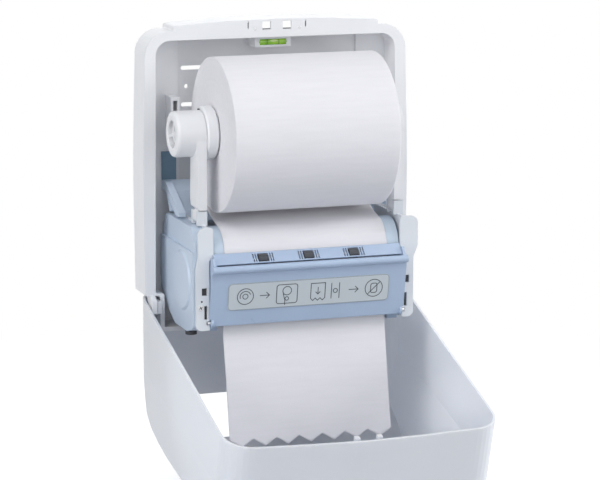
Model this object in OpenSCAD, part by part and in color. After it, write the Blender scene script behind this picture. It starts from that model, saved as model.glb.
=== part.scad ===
// Roll paper towel dispenser, open for loading.
// Frame: wall face at y = 0, +z up, -y towards the user, x = 0 on the centre line. Millimetres.

/* [Tray] */
// Room between each end of the paper and the side of the tray
side_room = 66.5; // [62:0.5:72]
// Depth of the tray from the wall to its front rim
tray_d = 46; // [40:1:50]
// Wall thickness of the tray
tray_wall = 3; // [2:0.25:4]
// Width of the front rim
rim_w = 13; // [11:0.5:16]
// Thickness of the panel against the wall
panel_t = 4; // [3:0.5:5]
// Height of the shoulders above the wall centre
shoulder_z = 178; // [172:1:184]
// Rise of the lip above the shoulders
lip_rise = 11; // [9:0.5:14]
// Bottom of the tray below the wall centre
bottom_drop = 190; // [186:1:196]
// Height of the notches at the two lower corners
notch_h = 45; // [42:1:48]
// Radius of the upper corners
corner_r = 30; // [20:1:40]
// Thickness of the raised side strips of the panel
strip_t = 5; // [3:0.5:7]
// Length of a wall screw slot
slot_l = 30; // [20:1:34]
// Width of a wall screw slot
slot_w = 5.2; // [4.4:0.2:6]
// Height of the upper wall slots
slot_z = 128; // [120:1:134]
// Height between the upper and lower wall slots
slot_rows = 230; // [220:1:240]

/* [Lock and level] */
// Width of a lock window in the lip
window_w = 11; // [10:0.5:13]
// Height of a lock window
window_h = 10; // [9:0.5:11]
// Distance of a lock window from the centre line
window_x = 13; // [12:0.5:16]
// Radius of a lock pin
lock_pin_r = 2; // [1.5:0.25:2.5]
// Distance of a lock pin from the centre line
lock_pin_x = 28.5; // [27:0.5:32]
// Thickness of the lock slide
lock_t = 2; // [1.5:0.25:2.5]
// Travel of the lock slide
lock_travel = 4; // [3:0.5:5]
// Length of the level vial
vial_l = 36; // [30:1:40]
// Radius of the level vial
vial_r = 4.8; // [4:0.2:5.2]

/* [Cover] */
// Wall thickness of the cover
cover_wall = 3; // [2.5:0.25:3.5]
// Depth of the closed cover in front of its rim
cover_d = 172; // [168:1:180]
// Angle at which the cover stands open
open_angle = 107; // [95:1:108]
// Distance of the cover hinge from the wall
hinge_y = 49; // [48:0.5:51]
// Height of the cover hinge above the tray's bottom
hinge_rise = 32.5; // [31:0.5:34]
// Radius of a cover hinge pin
hinge_pin_r = 3.5; // [3:0.25:4.5]
// Radius of the lugs and ears round the hinge pins
hinge_lug_r = 8; // [7:0.25:9]
// Depth of the cut-out in the cover's bottom, which straddles the tray when open
cutout_d = 47; // [44:1:52]
// Width of the bridge between that cut-out and the paper exit
bridge_d = 84; // [78:1:88]
// Height of the paper exit above the cover's bottom
exit_h = 91; // [80:1:96]
// How far each side of the cover draws in from its crease to the front
side_taper = 15; // [8:1:20]

/* [Roll] */
// Radius of a full paper roll
roll_r = 93; // [80:1:96]
// Width of the paper
roll_w = 205; // [200:1:206]
// Distance of the roll's axis from the wall
roll_y = 112; // [110:1:114]
// Height of the roll's axis
roll_z = 60; // [58:1:63]
// Radius of the core's bore
core_r = 19.3; // [18.5:0.1:22]
// Wall of the cardboard core
core_t = 1.7; // [1.2:0.1:2.5]
// How far the loose roll hangs below the axis of its hubs
core_play = 3.3; // [2:0.1:4]

/* [Arms and hubs] */
// Thickness of an arm
arm_t = 12; // [10:0.5:13]
// Radius of an arm's ring
arm_ring_r = 27.5; // [26:0.5:30]
// Depth of an arm at its foot
arm_foot = 26; // [22:1:30]
// Radius of an arm's pivot pin
arm_pin_r = 3; // [2.5:0.25:3.5]
// Radius of a hub's journal
journal_r = 14; // [11:0.5:15]
// Radius of a hub's flange
flange_r = 32; // [28:0.5:33]
// Reach of a hub's plug into the core
plug_l = 16; // [12:1:18]
// How far the head of the left arm stands out
head_l = 23.5; // [16:0.5:25]
// Radius of the recess in that head
recess_r = 16.5; // [15.5:0.5:20]
// Depth of the recess in that head
recess_d = 9; // [6:0.5:12]

/* [Drum and knife] */
// Radius of the drum
drum_r = 32; // [31:0.25:32.5]
// Distance of the drum's axis from the wall
drum_y = 124; // [123:0.5:125]
// Depth of the drum's axis below the wall centre
drum_drop = 79.5; // [78:0.5:81]
// Wall of the drum shell
drum_wall = 3; // [2:0.25:3.5]
// Radius of the drum's shaft
shaft_r = 5; // [4:0.25:6]
// Thickness of a drum end cap
cap_t = 4; // [3:0.5:5]
// Teeth of the drum gear
gear_teeth = 30; // [24:2:32]
// Teeth of the idler gear
idler_teeth = 20; // [16:4:24]
// Module of the two gears
gear_m = 1.5; // [1.25:0.05:1.6]
// Width of the two gears
gear_w = 7; // [5:0.5:9]
// Radius of the feed wheel
wheel_r = 26; // [22:1:28]
// Zigzags of the knife
knife_teeth = 7; // [5:1:14]
// Depth of the knife's zigzag
knife_zig = 7; // [4:0.5:8]
// Thickness of the knife blade
knife_t = 0.8; // [0.6:0.1:1.2]

/* [Side plates] */
// Thickness of a side plate
plate_t = 3; // [2.5:0.25:4]
// Distance of the side plates' front from the drum's axis
front_room = 34; // [33:0.5:36]
// Top of the side plates below the wall centre
plate_top = 43; // [42.5:0.5:44]
// Bottom of the side plates below the wall centre
plate_bottom = 167; // [165:0.5:168]
// Width of the gear cover outside the left plate
gear_cover_w = 16.5; // [15:0.5:18]
// Height of the step in the gear cover below the wall centre
gear_step_drop = 73; // [70:0.5:76]
// Wall of the gear cover
gear_cover_wall = 2.5; // [2:0.25:3]

/* [Flap] */
// Distance of the flap's rolled rim from the wall
flap_rim_y = 174; // [173:0.5:177]
// Radius of the flap's rolled rim
flap_rim_r = 4.5; // [3.5:0.25:5]
// Thickness of the flap's panel
flap_t = 3; // [2.5:0.25:3.5]
// Radius of a flap pivot pin
flap_pin_r = 2.5; // [2:0.25:3]
// Length of the pictogram label
label_l = 203; // [180:1:210]
// Height of the pictogram label
label_h = 34; // [26:0.5:36]
// Radius of a pinch tyre
tyre_r = 5.5; // [5:0.25:5.75]
// Width of a pinch tyre
tyre_w = 11.5; // [8:0.5:12]
// Distance between two pinch tyres
tyre_pitch = 57; // [45:1:60]

/* [Paper] */
// Thickness of the paper web
web_t = 0.5; // [0.4:0.05:0.8]
// Length of the torn tail below the flap
tail_l = 146; // [100:1:150]
// Lean of the tail towards the user
tail_lean = 11; // [0:0.5:14]
// Depth of the torn zigzag
tear_depth = 9; // [5:0.5:12]

/* [Hidden] */
$fn = 72;
// Clearances: running fit of pins and shafts, seat of fixed pins, gap between faces that pass each other
run = 0.06;
seat = 0.02;
gap = 0.5;
// Overlap of shapes that are fused into one solid, and overshoot of cuts
fuse = 1;
over = 1;

// Tray
body_w = roll_w + 2 * side_room;
lip_w = body_w - 76;
low_w = roll_w + 96;
low_rim = 5.5;
strip_gap = roll_w + 25;
bottom_z = -bottom_drop;
notch_z = bottom_z + notch_h;
top_z = shoulder_z + lip_rise;
lip_drop = 5;
pocket_top = shoulder_z - rim_w + 1.5;
strip_y = -panel_t - strip_t;
window_z = top_z - 8;
column_w = 11.5;
column_d = 24;
column_h = 62.5;
column_x = roll_w / 2 + 22.8;
bulge = 1.5;
column_z = 34;
hole_r = 2.6;

// Cover, drawn closed and turned open about its hinge
rim_y = -tray_d - 1;
hinge_z = bottom_z + hinge_rise;
front_y = rim_y - cover_d;
lug_x = body_w / 2 - cover_wall - 2.5;
lug_t = 6.5;
lug_wall = 3;
lug_s = hinge_lug_r - 0.5;
ear_t = 5;
ear_x = lug_x - lug_t - gap;
cutout_w = low_w + 2;
wall_gap = 0.7;
back_r = 38;
exit_w = roll_w + 9;
crease_y = 104;
crease_tilt = 7.3;
hook_w = 6;

// Side plates and what sits between them
plate_d = drum_y + front_room;
plate_x = roll_w / 2 + 19;
plate_out = plate_x + plate_t;
shoulder_h = 36;
flange_t = 3;
hub_z = roll_z + core_play;
arm_x = roll_w / 2 + 15.5;
arm_mid = arm_x + arm_t / 2;
stub_h = 16;
stub_front = -roll_y - 27;
tongue_d = 14;
stub_wall = 4;
pin_drop = 9;
stub_top = -plate_top + stub_h;
pivot_z = stub_top - pin_drop;
tongue_r = 7.5;
foot_gap = 1.5;

// Drum
drum_z = -drum_drop;
cap_x = roll_w / 2 + 15.5;
drum_len = 2 * (cap_x - cap_t);
bush_r = shaft_r + 4;
bush_flange = 2;
gear_x = plate_out + 2.5;
gear_gap = 0.35;
gear_a = gear_m * (gear_teeth + idler_teeth) / 2 + gear_gap;
idler_y = -drum_y + gear_a;
idler_pin_r = 4;
shaft_x = gear_x + gear_w + 1;
knife_u = 20;
knife_v = -16;
knife_angle = 53;
knife_reach = 17.5;
knife_rod_r = 2.5;
carrier_t = 3;
carrier_l = 9;
slot_x = roll_w / 2 + 4;

// Paper web
web_gap = 0.35;
web_r = drum_r + web_gap + web_t / 2;
leave_angle = 34;
meet_angle = 12;
peel_angle = 4.5;
exit_z = drum_z - 85.5;
exit_y = -drum_y - 26;
web_roll_r = roll_r + 0.6;

// Flap
flap_x = plate_x - 1;
flap_w = plate_x + 1.1;
flap_pivot = [-plate_d + 1, drum_z - 78.5];
flap_top = drum_z - 17.5;
flap_bottom = drum_z - 82.5;
cheek_t = 3;
cheek_x = flap_x - cheek_t;
pinch_angle = 6;
pinch_c = web_r + web_t / 2 + 0.4 + tyre_r;
pinch_y = -drum_y - pinch_c * cos(pinch_angle);
pinch_z = drum_z - pinch_c * sin(pinch_angle);
pinch_shaft_r = 2;
guide_t = 2;
guide_path = [for (d = [[45, 13.5], [37, 13.5], [34.2, 17.5], [31, 72.5]]) [-drum_y - d.x, drum_z - d.y]];
// Sloping cover plate over the pinch shaft, and the part of it that the windows take
plate_path = [[pinch_y - 7.8, pinch_z - 3.05], [pinch_y + 4, pinch_z + 7.8]];
window_path = [for (t = [0.1, 0.85]) plate_path[0] + t * (plate_path[1] - plate_path[0])];

// Small geometry

function unit(v) = v / norm(v);

// Left-hand normal of the edge from a to b: inwards on a counter-clockwise outline
function normal(a, b) = let (d = unit(b - a)) [-d.y, d.x];

// Outline with every edge moved inwards by t
function inset(p, t) = let (n = len(p))
    [for (k = [0:n - 1])
        let (a = p[(k + n - 1) % n], b = p[k], c = p[(k + 1) % n], m = normal(a, b), q = normal(b, c))
        b + (m + q) * t / (1 + m * q)];

// Points of one rounded corner at b, between its neighbours a and c
function corner(a, b, c, r, steps) = r <= 0 ? [b] :
    let (u = unit(a - b), w = unit(c - b), h = acos(u * w) / 2)
    let (o = b + unit(u + w) * r / sin(h), s = b + u * r / tan(h) - o, e = b + w * r / tan(h) - o)
    let (a0 = atan2(s.y, s.x), turn = (atan2(e.y, e.x) - a0 + 540) % 360 - 180)
    [for (k = [0:steps]) o + r * [cos(a0 + turn * k / steps), sin(a0 + turn * k / steps)]];

// Outline with rounded corners, one radius for each point
function rounded(p, r, steps = 8) = let (n = len(p))
    [for (k = [0:n - 1]) each corner(p[(k + n - 1) % n], p[k], p[(k + 1) % n], r[k], steps)];

// Right half of an outline, bottom to top, made whole
function whole(half) =
    concat(half, [for (k = [len(half) - 1:-1:0]) if (half[k].x != 0) [-half[k].x, half[k].y]]);

function bezier(a, b, c, d, t) =
    a * pow(1 - t, 3) + b * 3 * t * pow(1 - t, 2) + c * 3 * t * t * (1 - t) + d * pow(t, 3);

// Closed outline of a strip of thickness t along an open path
function ribbon(p, t) = let (n = len(p),
    side = [for (k = [0:n - 1]) normal(p[max(k - 1, 0)], p[min(k + 1, n - 1)]) * t / 2])
    concat([for (k = [0:n - 1]) p[k] + side[k]], [for (k = [n - 1:-1:0]) p[k] - side[k]]);

module along_y(y0, y1) {
    translate([0, y0, 0]) rotate([90, 0, 0]) linear_extrude(y0 - y1) children();
}

module along_x(x0, x1) {
    translate([x0, 0, 0]) rotate([90, 0, 90]) linear_extrude(x1 - x0) children();
}

module rod_x(x0, x1, y, z, r) {
    translate([x0, y, z]) rotate([0, 90, 0]) cylinder(h = x1 - x0, r = r);
}

module rod_y(y0, y1, x, z, r) {
    translate([x, y0, z]) rotate([90, 0, 0]) cylinder(h = y0 - y1, r = r);
}

module both() {
    children();
    mirror([1, 0, 0]) children();
}

module slot(l, w) {
    square([l - w, w], center = true);
    for (s = [-1, 1]) translate([s * (l - w) / 2, 0]) circle(d = w);
}

// Tray

tray_half = [[low_w / 2, bottom_z], [low_w / 2, notch_z], [body_w / 2, notch_z], [body_w / 2 + bulge, 20],
             [body_w / 2 - 3, shoulder_z], [lip_w / 2, shoulder_z], [lip_w / 2, top_z - lip_drop],
             [lip_w / 4, top_z - lip_drop / 4], [0, top_z]];
tray_outline = whole(tray_half);
tray_radii_half = [8, 3, 3, 2500, corner_r, 2, 3, 0, 0];
tray_radii = concat(tray_radii_half, [for (k = [7:-1:0]) tray_radii_half[k]]);
pocket_half = [[low_w / 2 - low_rim, bottom_z + low_rim], [low_w / 2 - low_rim, notch_z + tray_wall],
               [body_w / 2 - rim_w, notch_z + tray_wall], [body_w / 2 - 3 - rim_w, pocket_top]];
pocket_outline = whole(pocket_half);
pocket_radii = [2, 3, 3, corner_r - 12, corner_r - 12, 3, 3, 2];

function tray_line(t) = rounded(inset(tray_outline, t), [for (r = tray_radii) max(r - t, 0)]);
function pocket_line(t) = rounded(inset(pocket_outline, t), [for (r = pocket_radii) max(r - t, 0)]);

module tray_box() {
    difference() {
        along_y(0, -tray_d) polygon(tray_line(0));
        along_y(-panel_t, -tray_d - over) polygon(pocket_line(0));
        along_y(over, -tray_d + tray_wall) difference() {
            polygon(tray_line(tray_wall));
            polygon(pocket_line(-tray_wall));
        }
    }
}

module tray_strips() {
    along_y(-panel_t + fuse, strip_y) intersection() {
        polygon(pocket_line(-fuse));
        both() translate([strip_gap / 2, notch_z]) square([body_w, top_z - notch_z]);
    }
}

module tray_columns() {
    both() difference() {
        translate([column_x - column_w / 2, strip_y - column_d, column_z])
            cube([column_w, column_d + fuse, column_h]);
        translate([column_x - 2.75, strip_y - column_d - over, column_z + 36]) cube([5.5, column_d - 4, 22]);
    }
}

module tray_lugs() {
    both() along_x(lug_x - lug_t, lug_x) {
        translate([-hinge_y, hinge_z]) square(2 * lug_s, center = true);
        polygon([[-hinge_y + lug_s, hinge_z - lug_s], [-tray_d + 14, notch_z + fuse],
                 [-tray_d, notch_z + fuse], [-hinge_y - lug_s, hinge_z + lug_s]]);
    }
}

module wall_slots() {
    for (s = [-1, 1]) {
        for (z = [slot_z, slot_z - 45, slot_z - slot_rows])
            translate([s * (roll_w / 2 - 7.5), z]) slot(slot_l, slot_w);
        translate([s * (roll_w / 2 + 0.5), slot_z - 22.5]) circle(hole_r);
    }
}

module lip_cuts() {
    for (s = [-1, 1]) {
        translate([s * window_x, window_z]) square([window_w, window_h], center = true);
        translate([s * 36.7, window_z + 1]) square([1.6, 8], center = true);
        translate([s * lock_pin_x, window_z - 4]) circle(lock_pin_r + seat);
    }
}

module screw_places() {
    both() for (d = [-9.5, 45.5]) translate([plate_out + 7, 0, drum_z - d]) children();
}

module back_plate() {
    color("whitesmoke") difference() {
        union() {
            tray_box();
            tray_strips();
            tray_columns();
            tray_lugs();
        }
        along_y(over, strip_y - over) wall_slots();
        along_y(-tray_d + tray_wall + over, -tray_d - over) lip_cuts();
        both() rod_x(lug_x - lug_t - over, lug_x - lug_wall, -hinge_y, hinge_z, hinge_pin_r + seat);
        screw_places() rod_y(-over, strip_y - over, 0, 0, screw_r + seat);
    }
}

// Lock and level

lock_y = -tray_d + tray_wall + 0.4;

module lock_slide() {
    color("dimgray") along_y(lock_y + lock_t, lock_y) difference() {
        translate([-52, window_z - 9]) square([110, 12.5]);
        for (x = [-window_x - 1, window_x + 2.5])
            translate([x - window_w / 2 - 1.5, window_z - 4]) square([window_w + 3, 12]);
        for (s = [-1, 1]) translate([s * lock_pin_x + lock_travel / 2, window_z - 4])
            slot(2 * lock_pin_r + lock_travel + 1, 2 * lock_pin_r + 1);
    }
}

module lock_pins() {
    color("silver") for (s = [-1, 1]) {
        rod_y(lock_y + lock_t + 1.4, -tray_d, s * lock_pin_x, window_z - 4, lock_pin_r);
        rod_y(lock_y + lock_t + 1.4, lock_y + lock_t + 0.4, s * lock_pin_x, window_z - 4, lock_pin_r + 1.2);
    }
}

level_z = pocket_top - 7.5;
level_y = -26;

module level_holder() {
    color("white") difference() {
        translate([-vial_l / 2 - 5, level_y - vial_r, level_z - vial_r - 1.5])
            cube([vial_l + 10, -panel_t - level_y + vial_r, pocket_top - level_z + vial_r + 1.5]);
        rod_x(-vial_l / 2 - seat, vial_l / 2 + seat, level_y, level_z, vial_r + seat);
        translate([-vial_l / 2 + 1, level_y - vial_r - over, level_z - 3.6])
            cube([vial_l - 2, vial_r + over, 7.2]);
    }
}

module level_vial() {
    color("yellowgreen") rod_x(-vial_l / 2, vial_l / 2, level_y, level_z, vial_r);
}

// Cover, drawn closed

cover_bottom = bottom_z;
cover_half = [[body_w / 2, cover_bottom], [body_w / 2 - 3, top_z - 8], [lip_w / 4, top_z - 2], [0, top_z]];
cover_radii_half = [17, corner_r + 4, 0, 0];
cover_radii = concat(cover_radii_half, [for (k = [2:-1:0]) cover_radii_half[k]]);

// Side outline of the closed cover, from its rim at the bottom round the front
function cover_side(rim) =
    [[rim, cover_bottom], [rim, top_z], [front_y + 66, top_z], [front_y + 22, top_z - 14], [front_y, 86],
     [front_y, -44], [front_y + 16, cover_bottom + 52], [front_y + 47, cover_bottom + 22.5],
     [front_y + 98, cover_bottom + 4.5]];
cover_side_radii = [0, 0, 60, 45, 160, 90, 40, 40, 60];

// Plan outline, with the crease where the sides start to draw in
plan_half = [[body_w / 2 - side_taper, front_y - 8], [body_w / 2 + 0.5, -crease_y], [body_w / 2 + 0.5, 60]];
plan_radii = [45, 8, 0, 0, 8, 45];

module cover_form(t) {
    rim = t > 0 ? rim_y + 20 : rim_y;
    intersection() {
        along_y(rim, front_y - 20)
            polygon(rounded(inset(whole(cover_half), t), [for (r = cover_radii) max(r - t, 0)]));
        along_x(-body_w, body_w)
            polygon(rounded(inset(cover_side(rim), t), cover_side_radii));
        rotate([-crease_tilt, 0, 0]) translate([0, 0, -2 * body_w]) linear_extrude(4 * body_w)
            polygon(rounded(inset(whole(plan_half), t), plan_radii));
        shut() translate([0, 0, -2 * body_w]) linear_extrude(3 * body_w)
            polygon(rounded(inset([[-body_w / 2, -3 * body_w], [body_w / 2, -3 * body_w],
                                   [body_w / 2, -wall_gap], [-body_w / 2, -wall_gap]], t),
                            [0, 0, back_r - t, back_r - t]));
    }
}

module about_hinge(angle) {
    translate([0, -hinge_y, hinge_z]) rotate([angle, 0, 0]) translate([0, hinge_y, -hinge_z]) children();
}

module shut() {
    about_hinge(-open_angle) children();
}

module cover_cuts() {
    translate([-cutout_w / 2, rim_y - cutout_d, cover_bottom - over]) cube([cutout_w, cutout_d + 40, 45]);
    along_y(rim_y - cutout_d - bridge_d, front_y - 20) polygon(rounded(
        [[-exit_w / 2, cover_bottom - 20], [exit_w / 2, cover_bottom - 20],
         [exit_w / 2, cover_bottom + exit_h], [-exit_w / 2, cover_bottom + exit_h]], [0, 0, 14, 14]));
}

module cover_ears() {
    intersection() {
        both() along_x(ear_x - ear_t, ear_x) {
            translate([-hinge_y, hinge_z]) rotate(-open_angle) square(2 * lug_s, center = true);
            polygon([[-hinge_y - hinge_lug_r, hinge_z], [rim_y - 40, cover_bottom + 4],
                     [rim_y, cover_bottom + 1], [-hinge_y + hinge_lug_r * 0.8, hinge_z - 4]]);
        }
        along_y(0, front_y) polygon(rounded(inset(whole(cover_half), 0.1), cover_radii));
    }
}

module cover_hooks() {
    for (s = [-1, 1]) translate([s * (window_x + 0.5) - hook_w / 2, 0, 0]) {
        translate([0, rim_y - 24, window_z - 2.5]) cube([hook_w, 20, top_z - window_z + 0.5]);
        translate([0, rim_y - 24, window_z - 2.5]) cube([hook_w, 26, 5.5]);
    }
}

module opened() {
    about_hinge(open_angle) children();
}

module cover_shell() {
    color("white") opened() difference() {
        union() {
            difference() {
                cover_form(0);
                cover_form(cover_wall);
                cover_cuts();
            }
            cover_ears();
            cover_hooks();
        }
        both() rod_x(ear_x - ear_t - over, ear_x + over, -hinge_y, hinge_z, hinge_pin_r + run);
    }
}

module hinge_pins() {
    color("silver") both() rod_x(ear_x - ear_t, lug_x - lug_wall, -hinge_y, hinge_z, hinge_pin_r);
}

// Chassis

screw_r = 2;
front_y0 = -plate_d;
plate_line = [[strip_y, drum_z - 60.5], [strip_y - 51, -plate_bottom], [front_y0, -plate_bottom],
              [front_y0, -plate_top], [strip_y - 37, -plate_top], [strip_y, drum_z + 19.5]];
// Front flange, narrow below with a rounded shoulder above: outer edges low and high, and the inner edge high
step_z = -plate_top - shoulder_h;
function flange_line(low, high, inner) =
    rounded([[plate_x, -plate_bottom], [low, -plate_bottom], [low, step_z - 14], [high, step_z],
             [high, -plate_top], [inner, -plate_top], [inner, step_z], [plate_x, step_z - 4]],
            [0, 7, 8, 8, 9, 4, 3, 0]);
left_flange = [plate_x + 17, plate_x + 14, plate_x - 5];
right_flange = [plate_x + 15, plate_x + 20.5, plate_x - 2.5];
face_screw = [plate_x + 11, drum_z - 59.5];

module stub() {
    difference() {
        along_x(arm_x, arm_x + arm_t) translate([stub_front, -plate_top - fuse])
            square([arm_foot, stub_h + fuse]);
        translate([arm_x - over, stub_front + (arm_foot - tongue_d) / 2 - 0.4, pivot_z - tongue_r - 1])
            cube([arm_t + 2 * over, tongue_d + 0.8, stub_h + tongue_r]);
        rod_y(stub_front + arm_foot + over, stub_front + stub_wall, arm_mid, pivot_z, arm_pin_r + seat);
    }
}

// Right-hand plate: web, front flange with its shoulder, rear flange, and the stub that carries the arm
module side_plate(edges) {
    difference() {
        union() {
            along_x(plate_x, plate_out) polygon(plate_line);
            along_y(front_y0 + flange_t, front_y0) polygon(flange_line(edges[0], edges[1], edges[2]));
            along_y(strip_y, strip_y - flange_t) translate([plate_x, drum_z - 56.5]) square([15, 76]);
            stub();
        }
        rod_x(plate_x - over, plate_out + over, -drum_y, drum_z, bush_r + seat);
        rod_x(plate_x - over, plate_out + over, flap_pivot.x, flap_pivot.y, flap_pin_r + seat);
        along_y(front_y0 + flange_t + over, front_y0 - over) {
            translate([plate_out, drum_z - 45]) square([6.5, 9]);
            translate([plate_out, drum_z - 74]) square([3.5, 16.5]);
        }
        rod_x(plate_x - 9, cap_x + 1, -drum_y, drum_z, drum_r + 0.8);
        tie_places() rod_x(plate_x - over, plate_out + over, 0, 0, tie_r + seat);
        screw_places() rod_y(strip_y + over, strip_y - flange_t - over, 0, 0, screw_r + 0.2);
    }
}

module left_side_plate() {
    color("whitesmoke") mirror([1, 0, 0]) difference() {
        side_plate(left_flange);
        rod_x(plate_x - over, plate_out + over, idler_y, drum_z, idler_pin_r + seat);
        rod_y(front_y0 + flange_t + over, front_y0 - over, face_screw.x, face_screw.y, screw_r + seat);
    }
}

module right_side_plate() {
    color("whitesmoke") side_plate(right_flange);
}

gear_bottom = -plate_bottom - 5.5;
gear_top = -plate_top - 1.6;
gear_step_z = -gear_step_drop;
gear_step = 3;
gear_line = [[strip_y - 8, drum_z - 58.5], [strip_y - 8, drum_z + 7.5], [strip_y - 21, gear_top],
             [-plate_d + 22, gear_top], [-plate_d + 4, drum_z + 17.5], [-plate_d + 4, gear_bottom + 8],
             [-drum_y - 4, gear_bottom], [-drum_y + 48, gear_bottom], [-drum_y + 71, gear_bottom + 11],
             [-drum_y + 86, gear_bottom + 22.5]];
gear_radii = [8, 8, 10, 8, 10, 6, 10, 12, 6, 4];

// Outline of the gear cover, or of its deeper part below the step
module gear_shape(t, low) {
    intersection() {
        polygon(rounded(inset(gear_line, t), gear_radii));
        if (low) translate([-plate_d, gear_bottom]) square([plate_d, gear_step_z - t - gear_bottom]);
    }
}

module gear_cover() {
    color("lightsteelblue") mirror([1, 0, 0]) {
        difference() {
            union() {
                along_x(plate_out, plate_out + gear_cover_w - gear_step) gear_shape(0, false);
                along_x(plate_out, plate_out + gear_cover_w) gear_shape(0, true);
            }
            along_x(plate_out - over, plate_out + gear_cover_w - gear_step - gear_cover_wall)
                gear_shape(gear_cover_wall, false);
            along_x(plate_out - over, plate_out + gear_cover_w - gear_cover_wall)
                gear_shape(gear_cover_wall, true);
        }
        translate([plate_out + gear_cover_w - 0.5, -drum_y + 14, gear_step_z - 40]) rotate([0, 90, 0])
            cylinder(h = 3, r1 = 37, r2 = 34);
    }
}

module spring_post() {
    color("black") translate([-plate_out - 8, -drum_y + 7, gear_bottom - 6]) {
        cylinder(h = 4, r = 7);
        cylinder(h = 6, r = 4.5);
    }
}

// Rear guide: sloping panel behind the drum, with a cheek at each end
module rear_guide() {
    guide = [for (d = [[3, 34], [21, 23], [37, 2], [55, -9]]) [strip_y - d.x, -plate_top + d.y]];
    cheek_in = plate_out + 3.5;
    color("lightsteelblue") {
        along_x(-plate_x + 0.1, plate_x - 0.1) polygon(ribbon(guide, 2.5));
        along_x(-cheek_in - 9, cheek_in + 9) polygon(ribbon([guide[0], guide[1], guide[2]], 2.5));
        both() {
            along_x(cheek_in, cheek_in + 9)
                polygon([for (d = [[0, 24], [0, 35], [17, 35], [75, 6], [75, 1], [61, 1], [15, 24]])
                    [strip_y - d.x, -plate_top + d.y]]);
            translate([cheek_in - 9, strip_y - 3, -plate_top + 30]) cube([18, 3, 40]);
        }
    }
}

module lower_guide() {
    path = [for (d = [[-12, 70.5], [14, 70.5], [21, 62.5], [21, 44.5]]) [-drum_y - d.x, drum_z - d.y]];
    color("lightsteelblue") {
        along_x(-plate_x + 0.1, plate_x - 0.1) polygon(ribbon(path, 2.5));
        both() along_x(plate_x - 13.5, plate_x - 0.1)
            polygon([for (d = [[14, 70.5], [-8, 70.5], [0, 91.5], [18, 91.5], [22.2, 60.5]])
                [-drum_y - d.x, drum_z - d.y]]);
    }
}

tie_r = 3;

module tie_places() {
    for (p = [[strip_y - 27, drum_z - 38.5], [-drum_y + 46, drum_z - 70.5]])
        translate([0, p.x, p.y]) children();
}

module tie_rods() {
    color("silver") tie_places() rod_x(-plate_out, plate_out, 0, 0, tie_r);
}

module screw(y0, y1, head) {
    rod_y(y0, y1, 0, 0, screw_r);
    rod_y(y1, y1 - head, 0, 0, screw_r + 1.5);
}

module chassis_screws() {
    color("silver") {
        screw_places() screw(strip_y + 4, strip_y - flange_t, 2.2);
        translate([-face_screw.x, 0, face_screw.y]) screw(front_y0 + flange_t, front_y0, 1);
    }
}

module flap_pins() {
    color("silver") both() rod_x(cheek_x - 1, plate_out, flap_pivot.x, flap_pivot.y, flap_pin_r);
}

module arm_pins() {
    color("silver") both() rod_y(stub_front + arm_foot, stub_front + stub_wall, arm_mid, pivot_z, arm_pin_r);
}

module drum_bushes() {
    color("dimgray") both() difference() {
        union() {
            rod_x(plate_x - bush_flange, plate_out, -drum_y, drum_z, bush_r);
            rod_x(plate_x - bush_flange, plate_x, -drum_y, drum_z, bush_r + 3);
        }
        rod_x(plate_x - bush_flange - over, plate_out + over, -drum_y, drum_z, shaft_r + run);
    }
}

module idler_post() {
    color("silver") mirror([1, 0, 0])
        rod_x(plate_x, plate_out + gear_cover_w - gear_cover_wall - 0.2, idler_y, drum_z, idler_pin_r);
}

// Flap, closed

flap_front = [[flap_pivot.x - 3, flap_bottom], [-flap_rim_y + 2, flap_top]];

module flap_panel() {
    lean = unit(flap_front[1] - flap_front[0]);
    low = flap_front[0] + 0.14 * (flap_front[1] - flap_front[0]);
    color("lightsteelblue") difference() {
        union() {
            along_x(-flap_x, flap_x) {
                polygon(concat(flap_front, [flap_front[1] + [flap_t, 0], flap_front[0] + [flap_t, 0]]));
                translate([-flap_rim_y, flap_top + 5]) circle(flap_rim_r);
                polygon([flap_front[1] - lean, [-flap_rim_y - 2, flap_top + 5],
                         [-flap_rim_y + 3, flap_top + 5], flap_front[1] + [flap_t, -1]]);
            }
            both() along_x(cheek_x, flap_x) {
                polygon([flap_front[0], flap_front[0] + [10, 4], [-drum_y - 33.5, flap_top + 2],
                         [-drum_y - 34.5, drum_z - 0.5], [-drum_y - 44, drum_z + 1.5],
                         [-flap_rim_y, flap_top + 9], flap_front[1]]);
                translate(flap_pivot) circle(6);
            }
            along_x(-flap_w, flap_w) {
                polygon([low, flap_front[1], flap_front[1] + [flap_t, 0], low + [flap_t, 0]]);
                translate([-flap_rim_y, flap_top + 5]) circle(flap_rim_r);
            }
        }
        both() rod_x(cheek_x - over, flap_x + over, flap_pivot.x, flap_pivot.y, flap_pin_r + run);
        both() rod_x(cheek_x - over, flap_x - 0.8, pinch_y, pinch_z, pinch_shaft_r + run);
    }
}

// Inner guide: a ledge behind the rim, a sheet in front of the web, and a plate over the pinch shaft with a
// window and two pairs of slits at each tyre
module flap_guide() {
    end = cheek_x - 0.2;
    color("lightsteelblue") difference() {
        union() {
            along_x(-end, end) polygon(ribbon(guide_path, guide_t));
            along_x(-end, end) polygon(ribbon(plate_path, 1.5));
            both() along_x(end - 2, end)
                polygon([plate_path[1], plate_path[0], guide_path[0], guide_path[1], guide_path[2]]);
        }
        rod_x(-flap_x, flap_x, pinch_y, pinch_z, pinch_shaft_r + 0.25);
        tyre_places() {
            along_x(-tyre_w / 2 - 1, tyre_w / 2 + 1) polygon(ribbon(window_path, 4));
            both() for (k = [0, 1]) along_x(tyre_w / 2 + 2.6 + 3 * k, tyre_w / 2 + 4.1 + 3 * k)
                polygon(ribbon(window_path, 4));
        }
    }
}

label_tilt = atan2(flap_front[0].x - flap_front[1].x, flap_front[1].y - flap_front[0].y);

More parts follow.
